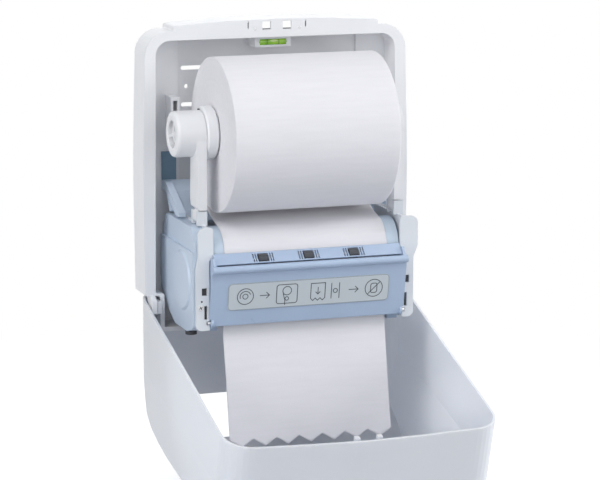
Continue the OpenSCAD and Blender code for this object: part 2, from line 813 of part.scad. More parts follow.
module flap_label() {
    mid = (flap_front[0] + flap_front[1]) / 2;
    color("silver") translate([0, mid.x - 0.5, mid.y + 3]) rotate([label_tilt, 0, 0])
        translate([0, -0.25, 0]) rotate([90, 0, 0]) linear_extrude(0.5)
            polygon(rounded([[-label_l / 2, -label_h / 2], [label_l / 2, -label_h / 2],
                             [label_l / 2, label_h / 2], [-label_l / 2, label_h / 2]], [5, 5, 5, 5]));
}

module tyre_places() {
    for (g = [-1:1]) translate([g * tyre_pitch, 0, 0]) children();
}

module pinch_shaft() {
    color("silver") rod_x(-flap_x + 1.2, flap_x - 1.2, pinch_y, pinch_z, pinch_shaft_r);
}

module pinch_tyres() {
    color("dimgray") tyre_places() difference() {
        rod_x(-tyre_w / 2, tyre_w / 2, pinch_y, pinch_z, tyre_r);
        rod_x(-tyre_w, tyre_w, pinch_y, pinch_z, pinch_shaft_r + seat);
    }
}

// Drum, with its knife slot pointing down at rest

module at_drum() {
    translate([0, -drum_y, drum_z]) children();
}

// Place of the knife: u points down and v to the rear in the drum's frame
module at_knife() {
    at_drum() translate([0, knife_v, -knife_u]) rotate([knife_angle - 180, 0, 0]) children();
}

module drum_shell() {
    color("lightsteelblue") at_drum() difference() {
        rod_x(-drum_len / 2, drum_len / 2, 0, 0, drum_r);
        rod_x(-drum_len, drum_len, 0, 0, drum_r - drum_wall);
        translate([-slot_x, knife_v - 3.5, -drum_r - over])
            cube([2 * slot_x, 4 - knife_v + 3.5, drum_r - 14]);
    }
}

module drum_caps() {
    color("lightsteelblue") at_drum() both() difference() {
        rod_x(drum_len / 2, cap_x, 0, 0, drum_r);
        rod_x(drum_len / 2 - over, cap_x + over, 0, 0, shaft_r + seat);
        rod_x(drum_len / 2 - over, cap_x - 1, knife_v, -knife_u, knife_rod_r + run);
    }
}

module drum_shaft() {
    color("silver") at_drum() rod_x(-shaft_x, shaft_x, 0, 0, shaft_r);
}

function gear_line_2d(n, m) = [for (k = [0:n - 1]) each
    [for (p = [[-0.30, -1.2], [-0.13, 0.9], [0.13, 0.9], [0.30, -1.2]])
        let (a = (k + p.x) * 360 / n, r = m * n / 2 + p.y * m) r * [cos(a), sin(a)]]];

module gear(n, m, bore, turn) {
    rotate([90, 0, 90]) linear_extrude(gear_w) difference() {
        rotate(turn) polygon(gear_line_2d(n, m));
        circle(bore);
    }
}

module drum_gear() {
    color("ghostwhite") at_drum() translate([-gear_x - gear_w, 0, 0])
        gear(gear_teeth, gear_m, shaft_r + seat, 0);
}

module idler_gear() {
    color("ghostwhite") translate([-gear_x - gear_w, idler_y, drum_z])
        gear(idler_teeth, gear_m, idler_pin_r + run, 180 / idler_teeth);
}

module feed_wheel() {
    color("lightsteelblue") at_drum() difference() {
        rod_x(gear_x, gear_x + gear_w, 0, 0, wheel_r);
        rod_x(gear_x - over, gear_x + gear_w + over, 0, 0, shaft_r + seat);
        for (k = [0:17]) rotate([k * 20, 0, 0])
            rod_x(gear_x - over, gear_x + gear_w + over, wheel_r + 1, 0, 3);
        for (k = [0:4]) rotate([k * 72, 0, 0])
            rod_x(gear_x - over, gear_x + gear_w + over, wheel_r * 0.55, 0, 5);
    }
}

module knife_carrier() {
    color("gray") at_knife() {
        rod_x(-drum_len / 2 - cap_t + 1.5, drum_len / 2 + cap_t - 1.5, 0, 0, knife_rod_r);
        translate([-roll_w / 2, -carrier_t / 2, 0]) cube([roll_w, carrier_t, carrier_l]);
    }
}

// Zigzag blade screwed to the carrier's face
module knife_blade() {
    pitch = roll_w / knife_teeth;
    teeth = [for (k = [0:knife_teeth - 1]) each
        [[-roll_w / 2 + k * pitch, knife_reach - knife_zig], [-roll_w / 2 + (k + 0.5) * pitch, knife_reach]]];
    color("silver") at_knife() along_y(-carrier_t / 2, -carrier_t / 2 - knife_t)
        polygon(concat([[roll_w / 2, 3.5], [-roll_w / 2, 3.5]], teeth,
                       [[roll_w / 2, knife_reach - knife_zig]]));
}

// Arms and hubs, drawn on the right

foot_z = stub_top + foot_gap;
arm_line = [[stub_front + arm_foot, foot_z], [stub_front + arm_foot + 5, foot_z + 11], [-roll_y, hub_z],
            [stub_front, hub_z], [stub_front, foot_z]];

module arm() {
    difference() {
        union() {
            along_x(arm_x, arm_x + arm_t) {
                polygon(rounded(arm_line, [0, 8, 0, 0, 0]));
                translate([-roll_y, hub_z]) circle(arm_ring_r);
            }
            rod_y(stub_front + (arm_foot + tongue_d) / 2, stub_front + (arm_foot - tongue_d) / 2,
                  arm_mid, pivot_z, min(tongue_r, arm_t / 2));
            translate([arm_x, stub_front + (arm_foot - tongue_d) / 2, pivot_z])
                cube([arm_t, tongue_d, pin_drop + 4]);
        }
        rod_x(arm_x - over, arm_x + arm_t + over, -roll_y, hub_z, journal_r + run);
        rod_y(stub_front + arm_foot, stub_front, arm_mid, pivot_z, arm_pin_r + run);
        translate([arm_x + arm_t, stub_front - over, foot_z]) rotate([0, 45, 0])
            translate([-2.2, 0, -2.2]) cube([4.4, arm_foot + 2 * over, 4.4]);
    }
}

module right_arm() {
    color("whitesmoke") arm();
}

// Outer end of the left arm's head, and the floor of the recess in it
head_x = arm_x + arm_t + head_l;
floor_x = head_x - recess_d;

module left_arm() {
    color("whitesmoke") mirror([1, 0, 0]) {
        arm();
        translate([0, -roll_y, hub_z]) rotate([0, 90, 0]) rotate_extrude()
            polygon([[journal_r + run, arm_x + arm_t - fuse], [arm_ring_r, arm_x + arm_t - fuse],
                     [arm_ring_r, head_x - 4], [arm_ring_r - 1.2, head_x - 1.2], [arm_ring_r - 4, head_x],
                     [recess_r + 1, head_x], [recess_r, head_x - 1], [recess_r, floor_x],
                     [journal_r + run, floor_x]]);
    }
}

flange_x = roll_w / 2 + gap;
plug_r = core_r - core_play - 0.35;

// Plug: a tapered nose in the core, a flange against the roll, and a journal in the arm
module plug(end) {
    tip = flange_x - plug_l;
    translate([0, -roll_y, hub_z]) rotate([0, 90, 0]) rotate_extrude()
        polygon([[0, tip], [plug_r - 4, tip], [plug_r - 0.7, flange_x - 2.5], [plug_r, flange_x - 1.5],
                 [plug_r, flange_x], [flange_r - 2, flange_x], [flange_r, flange_x + 2],
                 [flange_r, arm_x - gap - 2], [flange_r - 2, arm_x - gap], [journal_r, arm_x - gap],
                 [journal_r, end], [0, end]]);
}

module right_plug() {
    color("white") plug(arm_x + arm_t + gap);
}

module left_plug() {
    color("white") mirror([1, 0, 0]) plug(floor_x + gap);
}

// Flat cap that keeps the right plug in its arm
module right_cap() {
    base = arm_x + arm_t + gap;
    color("white") translate([0, -roll_y, hub_z]) rotate([0, 90, 0]) rotate_extrude()
        polygon([[0, base], [journal_r + 4, base], [journal_r + 4, base + 2],
                 [journal_r + 3, base + 3], [0, base + 3]]);
}

// Three-pronged retainer in the recess of the left arm's head
module left_knob() {
    base = floor_x + gap;
    prong = recess_d - 2;
    color("white") mirror([1, 0, 0]) translate([base, -roll_y, hub_z]) {
        rod_x(0, 2.5, 0, 0, recess_r - 0.8);
        rod_x(fuse, prong - 1, 0, 0, 5);
        for (k = [0:2]) rotate([k * 120 + 15, 0, 0]) translate([fuse, -1.75, 3])
            cube([prong - fuse, 3.5, recess_r - 5]);
    }
}

// Roll and paper

module paper_roll() {
    color("snow") translate([0, -roll_y, roll_z]) difference() {
        rod_x(-roll_w / 2, roll_w / 2, 0, 0, roll_r);
        rod_x(-roll_w, roll_w, 0, 0, core_r + core_t + seat);
    }
}

module roll_core() {
    color("tan") translate([0, -roll_y, roll_z]) difference() {
        rod_x(-roll_w / 2, roll_w / 2, 0, 0, core_r + core_t);
        rod_x(-roll_w, roll_w, 0, 0, core_r);
    }
}

// Path of the web: off the roll's lower back, sagging to the drum, over its front, and down behind the flap
leave = [-roll_y + web_roll_r * sin(leave_angle), roll_z - web_roll_r * cos(leave_angle)];
meet = [-drum_y - web_r * sin(meet_angle), drum_z + web_r * cos(meet_angle)];
sag = [for (k = [0:12]) bezier(leave, leave - 30 * [cos(leave_angle), sin(leave_angle)],
                               meet + 25 * [cos(meet_angle), sin(meet_angle)], meet, k / 12)];
wrap = [for (a = [meet_angle + 6:6:90 + peel_angle]) [-drum_y - web_r * sin(a), drum_z + web_r * cos(a)]];
web_path = concat(sag, wrap, [[exit_y, exit_z]]);

module paper_web() {
    color("snow") along_x(-roll_w / 2, roll_w / 2) polygon(ribbon(web_path, web_t));
}

module paper_tail() {
    pitch = roll_w / knife_teeth;
    torn = [for (k = [0:knife_teeth - 1]) each
        [[-roll_w / 2 + k * pitch, tear_depth], [-roll_w / 2 + (k + 0.5) * pitch, 0]]];
    color("snow") translate([0, exit_y, exit_z - 0.1]) rotate([-tail_lean, 0, 0]) translate([0, 0, -tail_l])
        along_y(web_t / 2, -web_t / 2)
            polygon(concat(torn, [[roll_w / 2, tear_depth], [roll_w / 2, tail_l], [-roll_w / 2, tail_l]]));
}

back_plate();
level_holder();
level_vial();
lock_slide();
lock_pins();
left_side_plate();
right_side_plate();
gear_cover();
spring_post();
rear_guide();
lower_guide();
tie_rods();
chassis_screws();
hinge_pins();
flap_pins();
arm_pins();
drum_bushes();
idler_post();
cover_shell();
flap_panel();
flap_guide();
flap_label();
pinch_shaft();
pinch_tyres();
drum_shell();
drum_caps();
drum_shaft();
drum_gear();
feed_wheel();
idler_gear();
knife_carrier();
knife_blade();
left_arm();
right_arm();
left_plug();
right_plug();
left_knob();
right_cap();
paper_roll();
roll_core();
paper_web();
paper_tail();
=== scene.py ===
"""Roll paper towel dispenser, open for loading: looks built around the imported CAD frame.

The pieces are drawn in millimetres, which build() turns into metres. The camera, the lamps, the
floor and the materials are in metres.
"""
import math

import bpy
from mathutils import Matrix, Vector, noise


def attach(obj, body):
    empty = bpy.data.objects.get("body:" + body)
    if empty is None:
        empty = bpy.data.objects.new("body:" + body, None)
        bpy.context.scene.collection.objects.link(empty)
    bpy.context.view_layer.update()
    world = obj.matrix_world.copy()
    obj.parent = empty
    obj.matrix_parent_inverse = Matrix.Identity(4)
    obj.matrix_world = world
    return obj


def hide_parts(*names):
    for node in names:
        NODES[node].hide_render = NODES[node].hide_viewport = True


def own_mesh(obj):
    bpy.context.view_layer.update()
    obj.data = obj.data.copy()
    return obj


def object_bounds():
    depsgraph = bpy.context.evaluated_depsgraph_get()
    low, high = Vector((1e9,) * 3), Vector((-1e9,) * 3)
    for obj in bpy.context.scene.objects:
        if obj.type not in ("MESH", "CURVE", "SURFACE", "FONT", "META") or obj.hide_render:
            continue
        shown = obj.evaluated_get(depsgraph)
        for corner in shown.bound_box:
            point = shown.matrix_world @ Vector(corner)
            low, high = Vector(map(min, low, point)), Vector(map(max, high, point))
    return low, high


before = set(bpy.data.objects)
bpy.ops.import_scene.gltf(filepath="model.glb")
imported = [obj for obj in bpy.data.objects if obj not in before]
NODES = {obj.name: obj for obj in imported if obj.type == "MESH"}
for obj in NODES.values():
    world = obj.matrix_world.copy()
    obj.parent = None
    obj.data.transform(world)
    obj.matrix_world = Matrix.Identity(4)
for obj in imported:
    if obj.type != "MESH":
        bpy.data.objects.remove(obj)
CAD_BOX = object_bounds()
MM = 0.001


# Camera: a pinhole fitted to the roll, the tail and the tray in the photograph

CAMERA_AT = (-1.041, -3.196, 0.535)
YAW, PITCH = math.radians(18.77), math.radians(10.58)
SENSOR_WIDTH = 36
FOCAL_PIXELS, PHOTO_WIDTH = 2738, 600
CLIP_END = 100

cam = bpy.data.objects.new("camera", bpy.data.cameras.new("camera"))
bpy.context.collection.objects.link(cam)
look = Vector((
    math.sin(YAW) * math.cos(PITCH),
    math.cos(YAW) * math.cos(PITCH),
    -math.sin(PITCH),
))
cam.location = CAMERA_AT
cam.rotation_euler = look.to_track_quat("-Z", "Y").to_euler()
cam.data.sensor_width = SENSOR_WIDTH
cam.data.lens = SENSOR_WIDTH * FOCAL_PIXELS / PHOTO_WIDTH
cam.data.clip_end = CLIP_END
bpy.context.scene.camera = cam


# Shader nodes

# The part of a noise's range over which roughness and colour go from one end to the other
ROUGHNESS_STOPS = (0.3, 0.7)
COLOUR_STOPS = (0.35, 0.65)
BEVEL_SAMPLES = 6


def material(name, colour, rough, specular=0.5):
    """New material; returns it with its nodes, its links and its shader."""
    m = bpy.data.materials.new(name)
    m.use_nodes = True
    nodes, links = m.node_tree.nodes, m.node_tree.links
    bsdf = nodes["Principled BSDF"]
    bsdf.inputs["Base Color"].default_value = (*colour, 1)
    bsdf.inputs["Roughness"].default_value = rough
    bsdf.inputs["Specular IOR Level"].default_value = specular
    return m, nodes, links, bsdf


def math_node(nodes, links, operation, *values):
    """Maths on numbers and on other nodes' outputs; returns its output."""
    node = nodes.new("ShaderNodeMath")
    node.operation = operation
    for socket, value in zip(node.inputs, values):
        if isinstance(value, float):
            socket.default_value = value
        else:
            links.new(value, socket)
    return node.outputs["Value"]


def map_range(nodes, links, value, source, target=(0.0, 1.0)):
    """Takes a value from one range to another; returns the node."""
    node = nodes.new("ShaderNodeMapRange")
    node.inputs["From Min"].default_value, node.inputs["From Max"].default_value = source
    node.inputs["To Min"].default_value, node.inputs["To Max"].default_value = target
    links.new(value, node.inputs["Value"])
    return node


def add_noise(nodes, links, scale, detail, stretch=(1, 1, 1)):
    """Noise in the object's own space; stretch multiplies its frequency along each axis."""
    place = nodes.new("ShaderNodeTexCoord")
    mapping = nodes.new("ShaderNodeMapping")
    mapping.inputs["Scale"].default_value = stretch
    texture = nodes.new("ShaderNodeTexNoise")
    texture.inputs["Scale"].default_value = scale
    texture.inputs["Detail"].default_value = detail
    links.new(place.outputs["Object"], mapping.inputs["Vector"])
    links.new(mapping.outputs["Vector"], texture.inputs["Vector"])
    return texture.outputs["Fac"]


def add_bump(nodes, links, bsdf, height, strength, depth, edge=0.0):
    """Surface grain; edge is the radius to which sharp edges are shaded as rounded ones."""
    bump = nodes.new("ShaderNodeBump")
    bump.inputs["Strength"].default_value = strength
    bump.inputs["Distance"].default_value = depth
    links.new(height, bump.inputs["Height"])
    if edge:
        bevel = nodes.new("ShaderNodeBevel")
        bevel.samples = BEVEL_SAMPLES
        bevel.inputs["Radius"].default_value = edge
        links.new(bevel.outputs["Normal"], bump.inputs["Normal"])
    links.new(bump.outputs["Normal"], bsdf.inputs["Normal"])


def vary_roughness(nodes, links, bsdf, value, low, high):
    spread = map_range(nodes, links, value, ROUGHNESS_STOPS, (low, high))
    links.new(spread.outputs["Result"], bsdf.inputs["Roughness"])


def vary_colour(nodes, links, bsdf, value, low, high, stops=COLOUR_STOPS):
    ramp = nodes.new("ShaderNodeValToRGB")
    for k, colour in enumerate((low, high)):
        ramp.color_ramp.elements[k].position = stops[k]
        ramp.color_ramp.elements[k].color = (*colour, 1)
    links.new(value, ramp.inputs["Fac"])
    links.new(ramp.outputs["Color"], bsdf.inputs["Base Color"])


def shaded(colour, share):
    return tuple(c * share for c in colour)


# Materials

GRAIN_SCALE, GRAIN_BUMP, GRAIN_DEPTH = 900.0, 0.04, 0.0004
EDGE = 0.0009
PALE = (0.56, 0.65, 0.77)
PALE_ROUGH = 0.38
# Dark blue of the rear guide's uprights: painted shade, the shadow that falls on them behind the
# mechanism
UPRIGHT_SHADE_BLUE = (0.13, 0.22, 0.30)
# Height at which the rear guide's pale bars end and its uprights, whose dark blue is painted shade,
# begin, and half the blend there
GUIDE_SPLIT, GUIDE_BLEND = -7.6 * MM, 0.0005


def moulded(name, colour, rough, grain=GRAIN_SCALE, bump=GRAIN_BUMP, shade=0.97, edge=EDGE):
    """Injection-moulded plastic: fine spark grain, faint mottling of colour and gloss."""
    m, nodes, links, bsdf = material(name, colour, rough)
    fine = add_noise(nodes, links, scale=grain, detail=2.0)
    broad = add_noise(nodes, links, scale=14.0, detail=4.0)
    add_bump(nodes, links, bsdf, fine, bump, GRAIN_DEPTH, edge)
    vary_roughness(nodes, links, bsdf, broad, low=rough * 0.85, high=rough * 1.15)
    vary_colour(nodes, links, bsdf, broad, low=shaded(colour, shade), high=colour)
    return m


def metal(name, colour, rough, stretch):
    """Brushed metal: fine lines along the axis whose noise is stretched."""
    m, nodes, links, bsdf = material(name, colour, rough)
    bsdf.inputs["Metallic"].default_value = 1
    lines = add_noise(nodes, links, scale=300.0, detail=3.0, stretch=stretch)
    vary_roughness(nodes, links, bsdf, lines, low=rough * 0.7, high=rough * 1.4)
    add_bump(nodes, links, bsdf, lines, strength=0.08, depth=0.0002, edge=0.0004)
    return m


def tissue(name, colour):
    """Soft towel paper: fibre fleece, slight crepe across the web, a little sheen."""
    m, nodes, links, bsdf = material(name, colour, rough=0.92, specular=0.15)
    bsdf.inputs["Sheen Weight"].default_value = 0.15
    bsdf.inputs["Sheen Roughness"].default_value = 0.6
    crepe_share = 0.6
    fibre = add_noise(nodes, links, scale=620.0, detail=6.0)
    crepe = add_noise(nodes, links, scale=90.0, detail=3.0, stretch=(0.25, 2.2, 2.2))
    height = math_node(nodes, links, "MULTIPLY_ADD", crepe, crepe_share, fibre)
    add_bump(nodes, links, bsdf, height, strength=0.16, depth=0.0006)
    vary_colour(nodes, links, bsdf, crepe, low=shaded(colour, 0.975), high=colour)
    return m


def cover_plastic():
    """Milky cover: slightly translucent, so light carries through its thin walls."""
    m, nodes, links, bsdf = material("cover_plastic", (0.70, 0.72, 0.77), rough=0.3)
    bsdf.inputs["Subsurface Weight"].default_value = 0.6
    bsdf.inputs["Subsurface Radius"].default_value = (0.012, 0.013, 0.015)
    bsdf.inputs["Subsurface Scale"].default_value = 1.0
    fine = add_noise(nodes, links, scale=700.0, detail=2.0)
    broad = add_noise(nodes, links, scale=9.0, detail=3.0)
    add_bump(nodes, links, bsdf, fine, strength=0.03, depth=GRAIN_DEPTH)
    vary_roughness(nodes, links, bsdf, broad, low=0.30, high=0.32)
    vary_colour(nodes, links, bsdf, broad, low=(0.697, 0.717, 0.767), high=(0.703, 0.723, 0.773))
    return m


def vial_liquid():
    """Bright green liquid behind a clear gloss."""
    m, nodes, links, bsdf = material("vial_liquid", (0.28, 0.62, 0.03), rough=0.08)
    bsdf.inputs["Coat Weight"].default_value = 0.8
    swirl = add_noise(nodes, links, scale=60.0, detail=2.0)
    vary_colour(nodes, links, bsdf, swirl, low=(0.20, 0.52, 0.02), high=(0.40, 0.74, 0.06))
    return m


def guide_plastic_and_shade():
    """Rear guide: pale blue bars below, and above them uprights painted dark blue as painted shade.
    """
    m, nodes, links, bsdf = material("guide_plastic_and_shade", PALE, PALE_ROUGH)
    fine = add_noise(nodes, links, scale=GRAIN_SCALE, detail=2.0)
    add_bump(nodes, links, bsdf, fine, GRAIN_BUMP, GRAIN_DEPTH, EDGE)
    place = nodes.new("ShaderNodeTexCoord")
    parts = nodes.new("ShaderNodeSeparateXYZ")
    links.new(place.outputs["Object"], parts.inputs["Vector"])
    step = map_range(nodes, links, parts.outputs["Z"],
                     (GUIDE_SPLIT - GUIDE_BLEND, GUIDE_SPLIT + GUIDE_BLEND))
    # above the split the uprights take the painted shade colour
    vary_colour(nodes, links, bsdf, step.outputs["Result"], PALE, UPRIGHT_SHADE_BLUE, stops=(0.0, 1.0))
    return m


WHITE = moulded("white_moulding", (0.83, 0.835, 0.855), 0.38)
PLATE_WHITE = moulded("white_plate", (0.74, 0.77, 0.81), 0.42)
BLUE = moulded("blue_moulding", (0.41, 0.51, 0.67), 0.30, shade=0.95)
DRUM_BLUE = moulded("drum_moulding", (0.55, 0.65, 0.76), 0.34, shade=0.96)
PALE_BLUE = moulded("pale_blue_moulding", PALE, PALE_ROUGH, shade=0.96)
# Dark plastic of the spring post and the vial marks, and also the painted shade of the small dark
# pieces in openings, recesses and notches
DARK_AND_SHADE = moulded("dark_plastic_and_shade", (0.045, 0.047, 0.052), 0.5)
GREY = moulded("grey_plastic", (0.20, 0.21, 0.23), 0.5)
GEAR = moulded("gear_plastic", (0.70, 0.70, 0.68), 0.45)
RUBBER = moulded("tyre_rubber", (0.06, 0.065, 0.075), 0.75, grain=500.0, bump=0.1)
STEEL = metal("brushed_steel", (0.62, 0.63, 0.65), 0.3, (0.05, 1, 1))
PAPER = tissue("towel_paper", (0.79, 0.78, 0.81))
BOARD = moulded("core_board", (0.45, 0.36, 0.26), 0.9, grain=400.0, bump=0.12, shade=0.85)
LABEL = moulded("label_film", (0.55, 0.60, 0.63), 0.55)
PRINT = moulded("label_print", (0.075, 0.085, 0.10), 0.6, edge=0.0)
BORDER = moulded("label_border", (0.22, 0.27, 0.33), 0.6, edge=0.0)
COVER = cover_plastic()
VIAL = vial_liquid()
GUIDE = guide_plastic_and_shade()
BUBBLE = moulded("vial_bubble", (0.72, 0.90, 0.35), 0.1, bump=0.0, edge=0.0)

FINISHES = (
    (WHITE, ("back_plate", "level_holder", "left_plug", "right_plug", "left_knob", "right_cap",
             "left_arm", "right_arm")),
    (PLATE_WHITE, ("left_side_plate", "right_side_plate")),
    (COVER, ("cover_shell",)),
    (PALE_BLUE, ("gear_cover",)),
    (GUIDE, ("rear_guide",)),
    (BLUE, ("lower_guide", "flap_panel", "flap_guide", "feed_wheel")),
    (DRUM_BLUE, ("drum_shell", "drum_caps")),
    (GEAR, ("drum_gear", "idler_gear", "drum_bushes")),
    (STEEL, ("tie_rods", "chassis_screws", "hinge_pins", "flap_pins", "arm_pins", "idler_post",
             "lock_pins", "drum_shaft", "pinch_shaft", "knife_carrier", "knife_blade")),
    (GREY, ("lock_slide",)),
    (DARK_AND_SHADE, ("spring_post",)),
    (RUBBER, ("pinch_tyres",)),
    (VIAL, ("level_vial",)),
    (LABEL, ("flap_label",)),
    (PAPER, ("paper_roll", "paper_web", "paper_tail")),
    (BOARD, ("roll_core",)),
)
for finish, names in FINISHES:
    for name in names:
        data = NODES[name].data
        data.materials.clear()
        data.materials.append(finish)


# Pieces

def build(name, verts, faces, mat, body, smooth=True):
    """Mesh object from points in millimetres, riding on a body."""
    me = bpy.data.meshes.new(name)
    me.from_pydata([tuple(c * MM for c in v) for v in verts], [], faces)
    me.update()
    if smooth:
        me.shade_smooth()
    me.materials.append(mat)
    o = bpy.data.objects.new(name, me)
    bpy.context.collection.objects.link(o)
    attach(o, body)
    return o


# The towel: the wound roll, the web over the drum and the torn tail

ROLL_Y, ROLL_Z, ROLL_R, ROLL_W = -112.0, 60.0, 93.0, 205.0
CORE_R, CORE_GAP = 21.0, 0.1
# The roll's ends: the rim outside the windings, their mean depth, step and unevenness
RIM, END_DEPTH, END_STEP, END_NOISE = 1.6, 0.55, 0.22, 0.25
SOFT_EDGE = 2.4
# Unevenness along the roll and around it; the turns near the core are round
SWELL, OUT_OF_ROUND, ROUND_BELOW = 0.12, 0.18, 40


def towel_roll():
    """Wound roll: a soft-edged cylinder whose ends show the windings as fine rings."""
    around, rings, lengths = 160, 58, 24
    half = ROLL_W / 2
    profile = []
    for k in range(rings + 1):
        r = CORE_R + CORE_GAP + (ROLL_R - RIM - CORE_R) * k / rings
        lift = END_STEP * (k % 2) + END_NOISE * noise.noise(Vector((k * 0.37, 1.7, 0.0)))
        profile.append((r, half - END_DEPTH + lift))
    # the soft edge from the wound end to the roll's face
    profile += [(ROLL_R - 0.7, half - 0.5), (ROLL_R - 0.15, half - 1.2), (ROLL_R, half - SOFT_EDGE)]
    middle = []
    for j in range(1, lengths):
        swell = SWELL * noise.noise(Vector((j * 8.0 * 0.05, 0.3, 2.0)))
        middle.append((ROLL_R + swell, half - SOFT_EDGE - (ROLL_W - 2 * SOFT_EDGE) * j / lengths))
    profile = profile + middle + [(r, -x) for r, x in reversed(profile)]
    verts, faces = [], []
    for r, x in profile:
        for a in range(around):
            t = 2 * math.pi * a / around
            c, s = math.cos(t), math.sin(t)
            q = r
            if r > ROUND_BELOW:
                q += OUT_OF_ROUND * noise.noise(Vector((c * 1.3, s * 1.3, r * 0.02)))
            verts.append((x, ROLL_Y + q * c, ROLL_Z + q * s))
    n = len(profile)
    for k in range(n):
        here, there = k * around, (k + 1) % n * around
        for a in range(around):
            b = (a + 1) % around
            faces.append((here + a, there + a, there + b, here + b))
    o = build("towel_roll", verts, faces, PAPER, "roll")
    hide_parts("paper_roll")


towel_roll()

# The web's radius on the roll and on the drum, and the angles at which it leaves and meets them
ROLL_WEB_R, WEB_R = 93.6, 32.6
DRUM_Y, DRUM_Z = -124.0, -79.5
OFF_ROLL, ON_DRUM, OFF_DRUM = math.radians(34), math.radians(12), math.radians(94.5)
# How far the free stretch keeps the direction of its two ends
ROLL_PULL, DRUM_PULL = 30, 25
# Where the web comes out below the flap, in (y, z)
EXIT = Vector((-150.0, -165.0))
# The tail's length, lean and torn teeth; the bend below the exit and the lean reached after it
TAIL, LEAN, TEETH, TEAR = 146.0, math.radians(11), 7, 9.0
TAIL_BEND, TAIL_LEAN = 22, LEAN * 1.02
# Points on each stretch of the path; the web is parted from the tail just above the exit
FREE_STEPS, DRUM_STEPS, DROP_STEPS, TAIL_STEPS = 32, 28, 24, 48
PARTED_ABOVE = 2
SHEET_ACROSS, SHEET_THICK = 126, 0.35
# Share of the tail at which the torn edge's teeth begin, and what is left after it
TEAR_FROM, TEAR_SPAN = 0.8, 0.2


def on_drum(angle):
    return Vector((DRUM_Y - WEB_R * math.sin(angle), DRUM_Z + WEB_R * math.cos(angle)))


def web_path():
    """Centre line of the towel in (y, z): off the roll, round the drum, down to the torn edge."""
    p0 = Vector((ROLL_Y + ROLL_WEB_R * math.sin(OFF_ROLL),
                 ROLL_Z - ROLL_WEB_R * math.cos(OFF_ROLL)))
    p3 = on_drum(ON_DRUM)
    p1 = p0 - ROLL_PULL * Vector((math.cos(OFF_ROLL), math.sin(OFF_ROLL)))
    p2 = p3 + DRUM_PULL * Vector((math.cos(ON_DRUM), math.sin(ON_DRUM)))
    pts = []
    for k in range(FREE_STEPS + 1):
        t = k / FREE_STEPS
        s = 1 - t
        pts.append(p0 * s ** 3 + p1 * 3 * t * s ** 2 + p2 * 3 * t * t * s + p3 * t ** 3)
    for k in range(1, DRUM_STEPS + 1):
        pts.append(on_drum(ON_DRUM + (OFF_DRUM - ON_DRUM) * k / DRUM_STEPS))
    last = pts[-1]
    for k in range(1, DROP_STEPS + 1):
        pts.append(last.lerp(EXIT, k / DROP_STEPS))
    # the tail turns from the web's fall to its own lean over a short bend
    here, step = EXIT.copy(), TAIL / TAIL_STEPS
    fall = math.atan2(EXIT.x - last.x, last.y - EXIT.y)
    for k in range(1, TAIL_STEPS + 1):
        u = min(1.0, k * step / TAIL_BEND)
        a = fall + (-TAIL_LEAN - fall) * (u * u * (3 - 2 * u))
        here = here + step * Vector((math.sin(a), -math.cos(a)))
        pts.append(here.copy())
    return pts


def tail_wave(x, down):
    """How far the loose tail stands off its path: curl and ripples that grow towards the tear."""
    wave = 1.5 * math.sin(x * 0.031 + 0.6) + 0.8 * math.sin(x * 0.074 + down * 3.0)
    wave += 1.2 * noise.noise(Vector((x * 0.02, down * 2.2, 4.0)))
    return wave * down ** 1.4


def torn_off(x):
    """What the tear takes off the tail's length at x: a zigzag with small fibres."""
    phase = ((x + ROLL_W / 2) / ROLL_W * TEETH) % 1.0
    cut = TEAR * abs(2 * phase - 1) + 0.35 * noise.noise(Vector((x * 1.9, 0.0, 9.0)))
    return max(cut, 0.0)


def sheet_piece(name, pts, start, stop, total):
    """Part of the towel between two points of its path, as a thin closed mesh, and its length."""
    run = [0.0]
    for k in range(1, len(pts)):
        run.append(run[-1] + (pts[k] - pts[k - 1]).length)
    verts, faces = [], []
    for side in (-1, 1):
        for k in range(start, stop + 1):
            d = (pts[min(k + 1, len(pts) - 1)] - pts[max(k - 1, 0)]).normalized()
            normal = Vector((-d.y, d.x))
            down = max(0.0, (run[k] - (total - TAIL)) / TAIL)
            for j in range(SHEET_ACROSS + 1):
                x = -ROLL_W / 2 + ROLL_W * j / SHEET_ACROSS
                q = pts[k] + normal * (tail_wave(x, down) + side * SHEET_THICK / 2)
                if down > TEAR_FROM:
                    q -= d * (torn_off(x) * (down - TEAR_FROM) / TEAR_SPAN)
                verts.append((x, q.x, q.y))
    n, row = stop - start + 1, SHEET_ACROSS + 1
    layer = n * row
    for k in range(n - 1):
        for j in range(SHEET_ACROSS):
            a, b = k * row + j, k * row + j + 1
            c, d = b + row, a + row
            faces.append((a, b, c, d))
            faces.append((layer + a, layer + d, layer + c, layer + b))
        # the two side edges
        a, d = k * row, (k + 1) * row
        faces.append((a, d, layer + d, layer + a))
        a, d = a + SHEET_ACROSS, d + SHEET_ACROSS
        faces.append((layer + a, layer + d, d, a))
    # the first and the last edge
    for j in range(SHEET_ACROSS):
        faces.append((j, layer + j, layer + j + 1, j + 1))
        a, b = (n - 1) * row + j, (n - 1) * row + j + 1
        faces.append((a, b, layer + b, layer + a))
    o = build(name, verts, faces, PAPER, "chassis")
    return o, run[stop] - run[start]


def towel():
    pts = web_path()
    last = len(pts) - 1
    cut = last - TAIL_STEPS - PARTED_ABOVE
    total = sum((pts[k] - pts[k - 1]).length for k in range(1, len(pts)))
    web, length = sheet_piece("towel_web", pts, 0, cut, total)
    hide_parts("paper_web")
    tail, length = sheet_piece("towel_tail", pts, cut, last, total)
    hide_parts("paper_tail")
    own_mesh(tail)


towel()


# Print on the flap's label: own line icons, one stroke thick

LABEL_AT, LABEL_TILT = Vector((0.0, -166.5, -126.5)), math.atan2(12.0, 65.0)
LABEL_W, LABEL_H = 203.0, 34.0
# The label's face in front of its middle, and how deep the strokes are rooted in it
LABEL_FACE, STROKE_ROOT = 0.75, 0.05
BORDER_INSET, BORDER_CORNER, BORDER_WIDTH, BORDER_LIFT = 0.6, 4.6, 0.5, 0.06
ICON_WIDTH, ICON_LIFT = 0.95, 0.12


